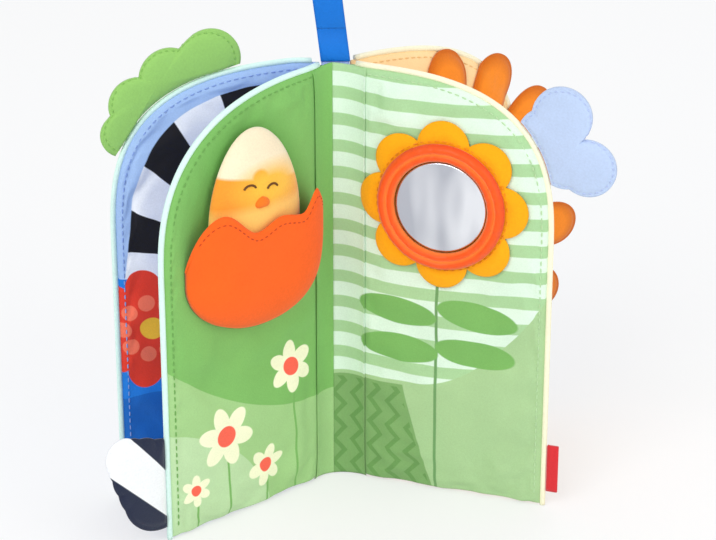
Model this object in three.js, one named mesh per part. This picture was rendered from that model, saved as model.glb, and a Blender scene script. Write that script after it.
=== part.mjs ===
import * as THREE from 'three';

// A cloth activity book for a baby: four padded leaves that crackle, standing fanned open.
// Millimetres, +Z up. The origin is on the floor under the middle of the spine binding,
// and the front spread faces -Y. A place on a leaf is (u, v, w): u outward from the
// leaf's hinge axis, v up, and w out of its front face.

const degree = Math.PI / 180;

const page = { reach: 106, height: 220, archStart: 135 };
const cloth = { thickness: 0.8, seamHalfGap: 0.15 };
const seatGap = 0.3;
const halvings = 24;
const piping = { radius: 1.4, sides: 6, steps: 30, hingeClearance: 6 };
const padding = { crown: 4.2, rollOver: 22, cutDepth: 0.5, filmThickness: 0.3 };
const gutter = { hingeOffset: 5, firstColumn: 2.1, stripWidth: 9, foldWidth: 16, seamOffset: 1.25 };
const columnShares = [0, 0.03, 0.1, 0.2, 0.34, 0.48, 0.61, 0.73, 0.83, 0.91, 0.965, 1];
const rowShares = [0, 0.03, 0.1, 0.25, 0.45, 0.65, 0.82, 0.93, 0.98, 1];

const binding = {
  halfThickness: 2.2, frontDepth: 2.4, backDepth: 6, height: 218,
  cordRadius: 1.8, webHalf: 0.9, cordSteps: 10,
};
const strap = {
  width: 14, thickness: 1.3, loopHeight: 54, loopHalfWidth: 8.5, stitchedHeight: 9, points: 28, lean: 7,
};
const flower = {
  centerU: 52, centerV: 154.5, tipRadius: 42.5, petalShare: 0.306, petals: 8, pointsPerPetal: 8, rings: 3,
  rimThickness: 0.9, padThickness: 2.2, seat: 0.75,
};
const ring = { innerRadius: 23, outerRadius: 32, height: 4.4, steps: 36 };
const ringSectionShares = [
  [0, 0], [0, 0.55], [0.14, 0.9], [0.36, 1], [0.5, 0.82], [0.68, 0.95], [0.9, 0.65], [1, 0.2], [1, 0],
];
const mirror = { thickness: 1.5, sides: 36 };
const cloud = {
  centerU: 114, centerV: 189, halfThickness: 2.6, rimHalf: 0.8, points: 34,
  lobes: [[108, 204, 14.5], [121, 180, 14], [110, 182, 13.5], [100, 194, 13]],
};
const bush = {
  centerU: 81, centerV: 214, halfThickness: 2.6, rimHalf: 0.8, points: 40,
  lobes: [[55, 223, 15], [75, 216, 14.5], [91, 204, 13.5], [98, 190, 11]],
};
const tab = {
  centerU: 116, centerV: 37, halfThickness: 2.2, rimHalf: 0.3, points: 30, hingeSeat: 0.3,
  lobes: [[131, 53, 9.5], [127, 49, 12], [121, 43, 16], [114, 36, 20], [108, 30, 23]],
};
const sideTag = { thickness: 1.6, reach: 6, bottom: 8, height: 25, arcSteps: 6 };
const pocket = {
  innerU: 12, outerU: 94, baseCenterU: 53, baseV: 130, baseDrop: 29, depth: 14.6, thickness: 1.8,
  sideRoll: 30, bottomRoll: 25, seat: 0.4, columns: 12, rows: 6,
};
const pocketMouth = [[12, 149], [19, 161], [32, 154.5], [47, 158], [62, 154.5], [81, 166], [94, 147]];
const chick = {
  centerU: 55, centerV: 160, halfWidth: 27, halfHeight: 41, taperShare: 0.12,
  seat: 0.4, backDepth: 3.5, frontDepth: 9, points: 24, rings: 4,
};
const mane = {
  centerU: 58, centerV: 115, radiusU: 65, radiusV: 77, firstAngle: -54, pitch: 24, petals: 8,
  halfLength: 22, halfWidth: 11.5, tipShare: 0.3, seat: 0.4, rimThickness: 1, padThickness: 2.6,
  points: 14, rings: 2,
};

const leaves = {
  front_left: {
    facing: 1, direction: 220.3, stack: 1, offset: 3.5, archPower: 2.6,
    face: 0x86c06c, back: 0x3b8fd6, edge: 0xd8f3e6,
  },
  front_right: {
    facing: -1, direction: -21.5, stack: 1, offset: 3, archPower: 3,
    face: 0xb5d3a2, back: 0xf3c9a0, edge: 0xf5efb0,
  },
  rear_left: {
    facing: 1, direction: 196, stack: -1, offset: -6, archPower: 3,
    face: 0x2a86d8, back: 0x9db8ea, edge: 0xcdeff0,
  },
  rear_right: {
    facing: -1, direction: 32, stack: -1, offset: -2.5, archPower: 3,
    face: 0xf8d3a4, back: 0x9db8ea, edge: 0xf7e3b0,
  },
};

const clothReach = page.reach - 2 * piping.radius - seatGap;
const clothHeight = page.height - 2 * piping.radius - seatGap;
const rimHeight = cloth.seamHalfGap + cloth.thickness;

const book = new THREE.Group();
const leafGroups = {};
for (const [name, leaf] of Object.entries(leaves)) {
  const group = new THREE.Group();
  group.position.x = -leaf.facing * gutter.hingeOffset;
  group.rotation.z = leaf.direction * degree;
  leafGroups[name] = group;
  book.add(group);
}

function fabric(color) {
  return new THREE.MeshStandardMaterial({ color, roughness: 0.9, metalness: 0 });
}

function addMesh(parent, name, geometry, material) {
  const mesh = new THREE.Mesh(geometry, material);
  mesh.name = name;
  parent.add(mesh);
  return mesh;
}

// Makes a geometry from points and triangles, with the faces pointing out.
function solid(points, triangles) {
  const corner = points.map((p) => new THREE.Vector3(...p));
  let volume = 0;
  for (const [a, b, c] of triangles) {
    volume += corner[a].dot(new THREE.Vector3().crossVectors(corner[b], corner[c]));
  }
  const outward = volume > 0 ? triangles : triangles.map(([a, b, c]) => [a, c, b]);
  const geometry = new THREE.BufferGeometry();
  geometry.setAttribute('position', new THREE.Float32BufferAttribute(points.flat(), 3));
  geometry.setIndex(outward.flat());
  geometry.computeVertexNormals();
  return geometry;
}

// A closed body between two surfaces over one grid; place(i, j, high) gives a point.
function bodyOverGrid(columns, rows, place) {
  const points = [];
  for (const high of [false, true]) {
    for (let i = 0; i <= columns; i += 1) {
      for (let j = 0; j <= rows; j += 1) points.push(place(i, j, high));
    }
  }
  const at = (i, j, high) => (high ? (columns + 1) * (rows + 1) : 0) + i * (rows + 1) + j;
  const triangles = [];
  const quad = (a, b, c, d) => triangles.push([a, b, c], [a, c, d]);
  for (let i = 0; i < columns; i += 1) {
    for (let j = 0; j < rows; j += 1) {
      quad(at(i, j, true), at(i, j + 1, true), at(i + 1, j + 1, true), at(i + 1, j, true));
      quad(at(i, j, false), at(i + 1, j, false), at(i + 1, j + 1, false), at(i, j + 1, false));
    }
  }
  for (let i = 0; i < columns; i += 1) {
    quad(at(i, 0, false), at(i, 0, true), at(i + 1, 0, true), at(i + 1, 0, false));
    quad(at(i, rows, false), at(i + 1, rows, false), at(i + 1, rows, true), at(i, rows, true));
  }
  for (let j = 0; j < rows; j += 1) {
    quad(at(0, j, false), at(0, j + 1, false), at(0, j + 1, true), at(0, j, true));
    quad(at(columns, j, false), at(columns, j, true), at(columns, j + 1, true), at(columns, j + 1, false));
  }
  return solid(points, triangles);
}

// A closed body from loops of equal length: with two poles, or joined end to end.
function bodyFromLoops(loops, poles) {
  const count = loops[0].length;
  const points = loops.flat();
  const triangles = [];
  const joined = poles ? loops.length - 1 : loops.length;
  for (let k = 0; k < joined; k += 1) {
    const here = k * count;
    const next = ((k + 1) % loops.length) * count;
    for (let m = 0; m < count; m += 1) {
      const turn = (m + 1) % count;
      triangles.push([here + m, here + turn, next + turn], [here + m, next + turn, next + m]);
    }
  }
  if (poles) {
    const last = (loops.length - 1) * count;
    const first = points.length;
    points.push(...poles);
    for (let m = 0; m < count; m += 1) {
      const turn = (m + 1) % count;
      triangles.push([first, turn, m], [first + 1, last + m, last + turn]);
    }
  }
  return solid(points, triangles);
}

function archTop(leaf, u) {
  const share = Math.min(Math.max(u / clothReach, 0), 1);
  const drop = (1 - share ** leaf.archPower) ** (1 / leaf.archPower);
  return page.archStart + (clothHeight - page.archStart) * drop;
}

function roll(distance, width) {
  const share = Math.min(Math.max(distance / width, 0), 1);
  return Math.sqrt(1 - (1 - share) ** 2);
}

// How full the wadding is: 0 at a seam and 1 over the middle of the leaf.
function fullness(leaf, u, v) {
  const sides = roll(u - gutter.stripWidth, padding.rollOver) * roll(clothReach - u, padding.rollOver);
  const ends = roll(v + padding.cutDepth, padding.rollOver) * roll(archTop(leaf, u) - v, padding.rollOver);
  return sides * ends;
}

// The leaf's middle plane: it leaves the seam close to its hinge axis and then runs offset.
function middle(leaf, u) {
  const share = Math.min(Math.max(u / gutter.foldWidth, 0), 1);
  const ease = share * share * (3 - 2 * share);
  const start = leaf.stack * gutter.seamOffset;
  return start + (leaf.offset - start) * ease;
}

function faceHeight(leaf, u, v) {
  return rimHeight + (padding.crown - rimHeight) * fullness(leaf, u, v);
}

function liningHeight(leaf, u, v) {
  const most = padding.crown - cloth.thickness - cloth.seamHalfGap;
  return cloth.seamHalfGap + most * fullness(leaf, u, v);
}

// A point of a leaf in its group's frame.
function onLeaf(leaf, u, v, w) {
  return [u, leaf.facing * w, v];
}

function leafColumn(i) {
  if (i === 0) return gutter.firstColumn;
  return gutter.stripWidth + (clothReach - gutter.stripWidth) * columnShares[i - 1];
}

// One layer of a leaf between two heights over the columns and rows that it covers.
function leafLayer(leaf, inset, lowHeight, highHeight) {
  const firstColumn = 2 * inset;
  const columns = columnShares.length - 3 * inset;
  const rows = rowShares.length - 1 - 2 * inset;
  return bodyOverGrid(columns, rows, (i, j, high) => {
    const u = leafColumn(firstColumn + i);
    const v = archTop(leaf, u) * rowShares[inset + j];
    const rim = i === 0 || j === 0 || i === columns || j === rows;
    const height = (high ? highHeight : lowHeight)(u, v, rim);
    return onLeaf(leaf, u, v, middle(leaf, u) + height);
  });
}

function addLeafLayers(name) {
  const leaf = leaves[name];
  const group = leafGroups[name];
  const face = (u, v) => faceHeight(leaf, u, v);
  const lining = (u, v, rim) => (rim ? cloth.seamHalfGap : liningHeight(leaf, u, v));
  const filmTop = (u, v) => liningHeight(leaf, u, v) - seatGap;
  const filmBottom = (u, v) => filmTop(u, v) - padding.filmThickness;
  const waddingTop = (u, v) => filmBottom(u, v) - seatGap;
  const waddingBottom = (u, v) => -filmTop(u, v);
  const minus = (height) => (u, v, rim) => -height(u, v, rim);
  addMesh(group, `${name}_front_cloth`, leafLayer(leaf, 0, lining, face), fabric(leaf.face));
  addMesh(group, `${name}_back_cloth`, leafLayer(leaf, 0, minus(face), minus(lining)), fabric(leaf.back));
  addMesh(group, `${name}_crinkle_film`, leafLayer(leaf, 1, filmBottom, filmTop), fabric(0xe8ecef));
  addMesh(group, `${name}_wadding`, leafLayer(leaf, 1, waddingBottom, waddingTop), fabric(0xf7f5ee));
}

// The cloth outline from the bottom corner, round the arch, to the spine, moved outward.
function edgePoint(leaf, t, outward) {
  if (t < 1) return [clothReach + outward, page.archStart * t];
  const angle = (2 - t) * (Math.PI / 2);
  const power = 2 / leaf.archPower;
  const shareU = Math.max(Math.sin(angle), 0) ** power;
  const shareV = Math.max(Math.cos(angle), 0) ** power;
  const rise = clothHeight - page.archStart;
  const normalU = shareU ** (leaf.archPower - 1) / clothReach;
  const normalV = shareV ** (leaf.archPower - 1) / rise;
  const size = Math.hypot(normalU, normalV);
  const u = clothReach * shareU + (outward * normalU) / size;
  const v = page.archStart + rise * shareV + (outward * normalV) / size;
  return [u, v];
}

class PipingPath extends THREE.Curve {
  constructor(leaf) {
    super();
    this.leaf = leaf;
    this.outward = piping.radius + seatGap;
    const share = piping.hingeClearance / clothReach;
    this.end = 2 - Math.asin(share ** (leaf.archPower / 2)) / (Math.PI / 2);
  }

  getPoint(t) {
    const [u, v] = edgePoint(this.leaf, t * this.end, this.outward);
    return new THREE.Vector3(...onLeaf(this.leaf, u, v, middle(this.leaf, u)));
  }
}

function addPiping(name) {
  const leaf = leaves[name];
  const section = new THREE.Shape();
  for (let k = 0; k < piping.sides; k += 1) {
    const angle = (k / piping.sides) * 2 * Math.PI;
    const corner = [piping.radius * Math.cos(angle), piping.radius * Math.sin(angle)];
    if (k === 0) section.moveTo(...corner);
    else section.lineTo(...corner);
  }
  const tube = new THREE.ExtrudeGeometry(section, {
    steps: piping.steps, bevelEnabled: false, extrudePath: new PipingPath(leaf),
  });
  addMesh(leafGroups[name], `${name}_piping`, tube, fabric(leaf.edge));
}

// How far a ray from a centre runs before it leaves every round lobe.
function lobeReach(shape, angle) {
  const du = Math.cos(angle);
  const dv = Math.sin(angle);
  let reach = 0;
  for (const [lobeU, lobeV, radius] of shape.lobes) {
    const alongU = lobeU - shape.centerU;
    const alongV = lobeV - shape.centerV;
    const along = alongU * du + alongV * dv;
    const across = alongU * dv - alongV * du;
    const chord = radius * radius - across * across;
    if (chord > 0) reach = Math.max(reach, along + Math.sqrt(chord));
  }
  return reach;
}

// True where a point is clear of the leaf's piping by the seat gap.
function beyondEdge(leaf, u, v, seat) {
  const reachU = page.reach + seat;
  if (v <= page.archStart) return u > reachU;
  const riseV = page.height + seat - page.archStart;
  const sum = Math.max(u / reachU, 0) ** leaf.archPower + ((v - page.archStart) / riseV) ** leaf.archPower;
  return sum > 1;
}

// The outline of a flap that is sewn in along the leaf's edge, as loop points about its centre.
function flapOutline(leaf, shape, seat) {
  const outline = [];
  for (let k = 0; k < shape.points; k += 1) {
    const angle = (k / shape.points) * 2 * Math.PI;
    const reach = lobeReach(shape, angle);
    let clear = 0;
    let blocked = 1;
    const probe = (share) => beyondEdge(
      leaf, shape.centerU + share * reach * Math.cos(angle),
      shape.centerV + share * reach * Math.sin(angle), seat,
    );
    if (probe(blocked)) clear = 1;
    for (let round = 0; clear < 1 && round < halvings; round += 1) {
      const half = (clear + blocked) / 2;
      if (probe(half)) clear = half;
      else blocked = half;
      if (blocked - clear < Number.EPSILON) break;
    }
    outline.push([clear * reach * Math.cos(angle), clear * reach * Math.sin(angle)]);
  }
  return outline;
}

// A padded body over an outline: its two skins meet the outline at the rim.
function paddedBody(leaf, shape, outline, rings, lowAt, highAt) {
  const loops = [];
  const ringPoint = (share, [du, dv], heightAt) => {
    const u = shape.centerU + share * du;
    const v = shape.centerV + share * dv;
    return onLeaf(leaf, u, v, heightAt(u, v, share));
  };
  for (let k = 1; k <= rings; k += 1) {
    const share = Math.sin((k / rings) * (Math.PI / 2));
    loops.push(outline.map((p) => ringPoint(share, p, lowAt)));
  }
  for (let k = rings; k >= 1; k -= 1) {
    const share = Math.sin((k / rings) * (Math.PI / 2));
    loops.push(outline.map((p) => ringPoint(share, p, highAt)));
  }
  return bodyFromLoops(loops, [ringPoint(0, [0, 0], lowAt), ringPoint(0, [0, 0], highAt)]);
}

function dome(share) {
  return Math.sqrt(Math.max(1 - share * share, 0));
}

function addEdgeFlap(leafName, nodeName, shape, seat, color) {
  const leaf = leaves[leafName];
  const outline = flapOutline(leaf, shape, seat);
  const half = (share) => shape.rimHalf + (shape.halfThickness - shape.rimHalf) * dome(share);
  const level = leaf.offset;
  const body = paddedBody(
    leaf, shape, outline, 2, (u, v, share) => level - half(share), (u, v, share) => level + half(share),
  );
  addMesh(leafGroups[leafName], nodeName, body, fabric(color));
}

function addSideTag() {
  const leaf = leaves.front_right;
  const half = sideTag.thickness / 2;
  const outline = [];
  const rootU = page.reach + seatGap;
  outline.push([rootU, leaf.offset - half]);
  for (let k = 0; k <= sideTag.arcSteps; k += 1) {
    const angle = (k / sideTag.arcSteps - 1 / 2) * Math.PI;
    const foldU = page.reach + sideTag.reach - half;
    outline.push([foldU + half * Math.cos(angle), leaf.offset + half * Math.sin(angle)]);
  }
  outline.push([rootU, leaf.offset + half]);
  const loopAt = (v) => outline.map(([u, w]) => onLeaf(leaf, u, v, w));
  const low = sideTag.bottom;
  const high = sideTag.bottom + sideTag.height;
  const poleU = page.reach + sideTag.reach / 2;
  const poles = [onLeaf(leaf, poleU, low, leaf.offset), onLeaf(leaf, poleU, high, leaf.offset)];
  const ribbon = bodyFromLoops([loopAt(low), loopAt(high)], poles);
  addMesh(leafGroups.front_right, 'side_tag', ribbon, fabric(0xd9342b));
}

function flowerTop(leaf, u, v, share) {
  const pad = flower.rimThickness + (flower.padThickness - flower.rimThickness) * dome(share);
  return middle(leaf, u) + faceHeight(leaf, u, v) + flower.seat + pad;
}

function addFlower() {
  const leaf = leaves.front_right;
  const group = leafGroups.front_right;
  const count = flower.petals * flower.pointsPerPetal;
  const pitch = (2 * Math.PI) / flower.petals;
  const petalRadius = flower.tipRadius * flower.petalShare;
  const petalCenter = flower.tipRadius - petalRadius;
  const outline = [];
  for (let k = 0; k < count; k += 1) {
    const angle = (k / count) * 2 * Math.PI;
    const turn = angle - pitch * Math.round(angle / pitch);
    const across = petalCenter * Math.sin(turn);
    const radius = petalCenter * Math.cos(turn) + Math.sqrt(petalRadius ** 2 - across ** 2);
    outline.push([radius * Math.cos(angle), radius * Math.sin(angle)]);
  }
  const underside = (u, v) => middle(leaf, u) + faceHeight(leaf, u, v) + flower.seat;
  const topside = (u, v, share) => flowerTop(leaf, u, v, share);
  const petals = paddedBody(leaf, flower, outline, flower.rings, underside, topside);
  addMesh(group, 'sunflower_petals', petals, fabric(0xf7a81b));

  const base = flowerTop(leaf, flower.centerU, flower.centerV, 0) + seatGap;
  const ringWidth = ring.outerRadius - ring.innerRadius;
  const loops = [];
  for (let k = 0; k < ring.steps; k += 1) {
    const angle = (k / ring.steps) * 2 * Math.PI;
    loops.push(ringSectionShares.map(([across, up]) => {
      const radius = ring.innerRadius + ringWidth * across;
      const u = flower.centerU + radius * Math.cos(angle);
      const v = flower.centerV + radius * Math.sin(angle);
      return onLeaf(leaf, u, v, base + ring.height * up);
    }));
  }
  addMesh(group, 'mirror_ring', bodyFromLoops(loops, null), fabric(0xf0581c));

  const radius = ring.innerRadius - seatGap;
  const disc = new THREE.CylinderGeometry(radius, radius, mirror.thickness, mirror.sides);
  const shiny = new THREE.MeshStandardMaterial({ color: 0xc9ced4, roughness: 0.08, metalness: 1 });
  const glass = addMesh(group, 'mirror_disc', disc, shiny);
  glass.position.set(...onLeaf(leaf, flower.centerU, flower.centerV, base + mirror.thickness / 2));
}

function mouthHeight(u) {
  const last = pocketMouth.length - 1;
  if (u <= pocketMouth[0][0]) return pocketMouth[0][1];
  for (let k = 0; k < last; k += 1) {
    const [u0, v0] = pocketMouth[k];
    const [u1, v1] = pocketMouth[k + 1];
    if (u <= u1) {
      const share = (u - u0) / (u1 - u0);
      const ease = share * share * (3 - 2 * share);
      return v0 + (v1 - v0) * ease;
    }
  }
  return pocketMouth[last][1];
}

function pocketBottom(u) {
  const halfSpan = (pocket.outerU - pocket.innerU) / 2;
  const share = (u - pocket.baseCenterU) / halfSpan;
  return pocket.baseV - pocket.baseDrop * dome(share);
}

function pocketLift(u, v) {
  const sides = roll(u - pocket.innerU, pocket.sideRoll) * roll(pocket.outerU - u, pocket.sideRoll);
  return pocket.depth * sides * roll(v - pocketBottom(u), pocket.bottomRoll);
}

function addPocket() {
  const leaf = leaves.front_left;
  const body = bodyOverGrid(pocket.columns, pocket.rows, (i, j, high) => {
    const across = (1 - Math.cos((i / pocket.columns) * Math.PI)) / 2;
    const u = pocket.innerU + (pocket.outerU - pocket.innerU) * across;
    const bottom = pocketBottom(u);
    const v = bottom + (mouthHeight(u) - bottom) * (j / pocket.rows) ** 1.4;
    const inside = middle(leaf, u) + faceHeight(leaf, u, v) + pocket.seat + pocketLift(u, v);
    return onLeaf(leaf, u, v, high ? inside + pocket.thickness : inside);
  });
  addMesh(leafGroups.front_left, 'petal_pocket', body, fabric(0xf26a1e));
}

function addChick() {
  const leaf = leaves.front_left;
  const outline = [];
  for (let k = 0; k < chick.points; k += 1) {
    const angle = (k / chick.points) * 2 * Math.PI;
    const taper = 1 - chick.taperShare * Math.sin(angle);
    outline.push([chick.halfWidth * Math.cos(angle) * taper, chick.halfHeight * Math.sin(angle)]);
  }
  const back = leaf.offset + padding.crown + chick.seat;
  const seam = back + chick.backDepth;
  const body = paddedBody(
    leaf, chick, outline, chick.rings,
    (u, v, share) => seam - chick.backDepth * dome(share) - seatGap,
    (u, v, share) => seam + chick.frontDepth * dome(share),
  );
  addMesh(leafGroups.front_left, 'chick_toy', body, fabric(0xf6e3c2));
}

// A row of petals that stand round the page on an oval, some of them past its edge.
function addMane() {
  const leaf = leaves.rear_right;
  for (let k = 0; k < mane.petals; k += 1) {
    const angle = (mane.firstAngle + mane.pitch * k) * degree;
    const place = {
      centerU: mane.centerU + mane.radiusU * Math.cos(angle),
      centerV: mane.centerV + mane.radiusV * Math.sin(angle),
    };
    const outline = [];
    for (let m = 0; m < mane.points; m += 1) {
      const turn = (m / mane.points) * 2 * Math.PI;
      const along = mane.halfLength * Math.cos(turn);
      const across = mane.halfWidth * Math.sin(turn) * (1 + mane.tipShare * Math.cos(turn));
      outline.push([
        along * Math.cos(angle) - across * Math.sin(angle),
        along * Math.sin(angle) + across * Math.cos(angle),
      ]);
    }
    const underside = (u, v) => (
      middle(leaf, u) + Math.max(faceHeight(leaf, u, v), piping.radius) + mane.seat
    );
    const topside = (u, v, share) => (
      underside(u, v) + mane.rimThickness + (mane.padThickness - mane.rimThickness) * dome(share)
    );
    const body = paddedBody(leaf, place, outline, mane.rings, underside, topside);
    addMesh(leafGroups.rear_right, `sun_petal_${k + 1}`, body, fabric(0xee8420));
  }
}

// The binding: a flat core with a cord along each side, and the leaves turn round the cords.
function addBinding() {
  const outline = new THREE.Shape();
  const webAngle = Math.asin(binding.webHalf / binding.cordRadius);
  outline.moveTo(binding.halfThickness, -binding.frontDepth);
  for (const side of [1, -1]) {
    outline.lineTo(side * binding.halfThickness, -side * binding.webHalf);
    for (let k = 0; k <= binding.cordSteps; k += 1) {
      const angle = (Math.PI - webAngle) * ((2 * k) / binding.cordSteps - 1);
      const x = gutter.hingeOffset + binding.cordRadius * Math.cos(angle);
      outline.lineTo(side * x, side * binding.cordRadius * Math.sin(angle));
    }
    outline.lineTo(side * binding.halfThickness, side * binding.webHalf);
    const depth = side > 0 ? binding.backDepth : -binding.frontDepth;
    outline.lineTo(side * binding.halfThickness, depth);
    outline.lineTo(-side * binding.halfThickness, depth);
  }
  const core = new THREE.ExtrudeGeometry(outline, { depth: binding.height, bevelEnabled: false });
  addMesh(book, 'spine_binding', core, fabric(0x9db8ea));
}

// The hanging strap: a ribbon loop that stands on the binding and leans a little to the left.
function addStrap() {
  const half = strap.thickness;
  const pivot = binding.height + seatGap + half;
  const middleLine = (t) => {
    const turn = t * 2 * Math.PI;
    const y = strap.loopHalfWidth * Math.sin(turn) * Math.sin(turn / 2);
    const z = strap.stitchedHeight + (strap.loopHeight - strap.stitchedHeight) * (1 - Math.cos(turn)) / 2;
    return [y, z];
  };
  const side = (t, outward) => {
    const step = 1 / (8 * strap.points);
    const [y0, z0] = middleLine(t - step);
    const [y1, z1] = middleLine(t + step);
    const length = Math.hypot(y1 - y0, z1 - z0);
    const [y, z] = middleLine(t);
    return [y + (outward * (z1 - z0)) / length, z - (outward * (y1 - y0)) / length];
  };
  const firstShare = 0.13;
  const outer = [];
  const inner = [];
  for (let k = 0; k <= strap.points; k += 1) {
    const t = firstShare + (1 - 2 * firstShare) * (k / strap.points);
    outer.push(new THREE.Vector2(...side(t, strap.thickness / 2)));
    inner.push(new THREE.Vector2(...side(t, -strap.thickness / 2)));
  }
  const ribbon = new THREE.Shape();
  const footSteps = 6;
  for (let k = 0; k <= footSteps; k += 1) {
    const angle = Math.PI * (1 + k / footSteps);
    const foot = [half * Math.cos(angle), half * Math.sin(angle)];
    if (k === 0) ribbon.moveTo(...foot);
    else ribbon.lineTo(...foot);
  }
  outer.forEach((p) => ribbon.lineTo(p.x, p.y));
  ribbon.holes.push(new THREE.Path(inner));
  const geometry = new THREE.ExtrudeGeometry(ribbon, { depth: strap.width, bevelEnabled: false });
  const corner = geometry.attributes.position;
  for (let k = 0; k < corner.count; k += 1) {
    const lean = Math.tan(strap.lean * degree) * Math.max(corner.getY(k), 0);
    const x = corner.getZ(k) - strap.width / 2 - lean;
    corner.setXYZ(k, x, corner.getX(k), corner.getY(k));
  }
  geometry.computeVertexNormals();
  const mesh = addMesh(book, 'hanging_strap', geometry, fabric(0x1478d2));
  mesh.position.z = pivot;
}

addBinding();
addStrap();
for (const name of Object.keys(leaves)) {
  addLeafLayers(name);
  addPiping(name);
}
addFlower();
addEdgeFlap('front_right', 'cloud_flap', cloud, seatGap, 0xbfd2f2);
addSideTag();
addPocket();
addChick();
addEdgeFlap('front_left', 'striped_tab', tab, tab.hingeSeat, 0xf4f4f8);
addEdgeFlap('rear_left', 'bush_flap', bush, seatGap, 0x93c25f);
addMane();

export default book;
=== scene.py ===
"""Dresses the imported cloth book: padded printed pages, flaps, a pocket with its chick, and a mirror.

A place on a page is (u, v, w) in millimetres: u out from the page's hinge line, v up, w out of its
front face. place() turns it into the frame's metres. Prints are drawn from u and v, kept as a UV map.
"""

import math
from functools import partialmethod

import bmesh
import bpy
import numpy as np
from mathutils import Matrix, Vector


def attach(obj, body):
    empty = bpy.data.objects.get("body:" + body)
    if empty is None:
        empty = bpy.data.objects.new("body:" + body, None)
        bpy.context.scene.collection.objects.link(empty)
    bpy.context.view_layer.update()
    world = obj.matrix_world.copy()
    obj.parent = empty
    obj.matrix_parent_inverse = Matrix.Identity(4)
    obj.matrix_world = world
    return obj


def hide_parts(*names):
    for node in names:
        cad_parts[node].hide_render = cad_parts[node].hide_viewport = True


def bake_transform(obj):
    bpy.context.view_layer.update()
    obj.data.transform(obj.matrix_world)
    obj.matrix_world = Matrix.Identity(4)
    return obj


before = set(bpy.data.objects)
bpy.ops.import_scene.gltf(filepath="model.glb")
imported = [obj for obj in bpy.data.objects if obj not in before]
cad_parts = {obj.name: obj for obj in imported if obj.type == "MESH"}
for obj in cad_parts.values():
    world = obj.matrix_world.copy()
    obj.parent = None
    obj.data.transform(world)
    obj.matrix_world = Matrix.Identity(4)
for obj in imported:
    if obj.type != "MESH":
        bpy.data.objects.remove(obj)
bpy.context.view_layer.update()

MM = 0.001
UV_SCALE = 0.01
PRINT_MAP = "print"
FULL_TURN = 2 * math.pi

# The page, as in the part: its outline, padding and fold at the gutter.
REACH = 106.0
HEIGHT = 220.0
ARCH_START = 135.0
PIPING_RADIUS = 1.4
SEAT = 0.3
CLOTH_REACH = REACH - 2 * PIPING_RADIUS - SEAT
CLOTH_HEIGHT = HEIGHT - 2 * PIPING_RADIUS - SEAT
RIM_HALF = 0.95
CROWN = 4.2
ROLL_OVER = 22.0
FOOT_SPARE = 0.5
HINGE_OFFSET = 5.0
GUTTER_START = 2.1
STRIP_WIDTH = 9.0
FOLD_WIDTH = 16.0
SEAM_OFFSET = 1.25
PIPING_CLEARANCE = 6.0
STITCH_CLEARANCE = 12.0
STITCH_INSET = 2.2
TUCK = 1.5

# Places on the pages that a print shares with the piece sewn over it.
FLOWER = (52.0, 154.5)
SUN = (58, 115)
CHICK = {"u": 55.0, "v": 160.0, "half_width": 27.0, "half_height": 41.0, "taper": 0.12}

MINT = "#d9f6ec"
CREAM = "#f7f2d3"
GRASS = "#7fba63"
GRASS_PAINTED_SHADOW = "#5f9e47"
HILL = "#a3cd88"
HILL_PALE = "#bcdba8"
DAISY = "#f8f9d4"
DAISY_HEART = "#fb6650"
STRIPE_PALE = "#dcf2dd"
STRIPE_SAGE = "#a9d09a"
GROUND = "#a9cb94"
PATCH = "#7fa968"
PATCH_DARK = "#6c9a56"
STEM = "#6f9c62"
LEAF_GREEN = "#7ab35f"
MARIGOLD = "#fcaa0c"
SATIN = "#f5560c"
SATIN_GROOVE = "#fb8a35"
SATIN_PAINTED_HIGHLIGHT = "#f97f2c"
SATIN_PAINTED_SHADE = "#e84a0c"
POCKET_ORANGE = "#fb6418"
EGG_CREAM = "#f8e6c4"
EGG_BELLY = "#fdc661"
EGG_BAND = "#fbbf36"
EGG_BAND_DEEP = "#f59a2c"
FACE_BROWN = "#6b4420"
BEAK = "#f47a1a"
CLOUD = "#b9cbe9"
BUSH = "#93c667"
SKY = "#1f7fdc"
POND = "#1668bf"
PERIWINKLE = "#a5bcec"
BORDER_BLUE = "#a6c3ec"
NAVY = "#16203c"
BLACK = "#17161c"
WHITE = "#f6f8fb"
RED = "#ec3f2c"
BLOOM_SPOT = "#ff7a5c"
BLOOM_HEART = "#fbc33a"
TAG_RED = "#d7262f"
PEACH = "#fbd9a2"
SUN_PALE = "#fdeac4"
SUN_DOT = "#f6b25e"
AMBER = "#f58a16"
AMBER_PAINTED_SHADE = "#c25c0c"
STRAP_BLUE = "#0570cf"
MIRROR_REFLECTION_DARK = "#b9bcc5"
MIRROR_REFLECTION_LIGHT = "#e9ebf0"


def linear(code):
    """A hex colour as the linear values that a shader takes."""
    parts = [int(code[k:k + 2], 16) / 255 for k in (1, 3, 5)]
    spread = [p / 12.92 if p <= 0.04045 else ((p + 0.055) / 1.055) ** 2.4 for p in parts]
    return (*spread, 1.0)


def around(count):
    """The angles of evenly spaced places on a circle."""
    return np.linspace(0, FULL_TURN, count, endpoint=False)


def joined(*parts):
    """Arrays of single coordinates as one array of points."""
    return np.stack(parts, axis=-1)


def ways(angle):
    """The directions at the angles."""
    return joined(np.cos(angle), np.sin(angle))


def crowded(steps, crowding=0.6):
    """Shares from 0 to 1 that lie closer together toward both ends."""
    t = np.linspace(0, 1, steps + 1)
    return t - crowding * np.sin(FULL_TURN * t) / FULL_TURN


def eased(share):
    """A share from 0 to 1 that starts and ends level."""
    return share * share * (3 - 2 * share)


def rolled(distance, width):
    """A quarter round: 0 at no distance, and 1 from the width on."""
    share = np.clip(distance / width, 0, 1)
    return np.sqrt(1 - (1 - share) ** 2)


def run_along(points):
    """The distance along a line of points, at each of them."""
    return np.concatenate([[0], np.cumsum(np.linalg.norm(np.diff(points, axis=0), axis=1))])


def domed(share):
    """The height of a half round at a share of its reach."""
    return math.sqrt(max(1 - share * share, 0))


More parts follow.
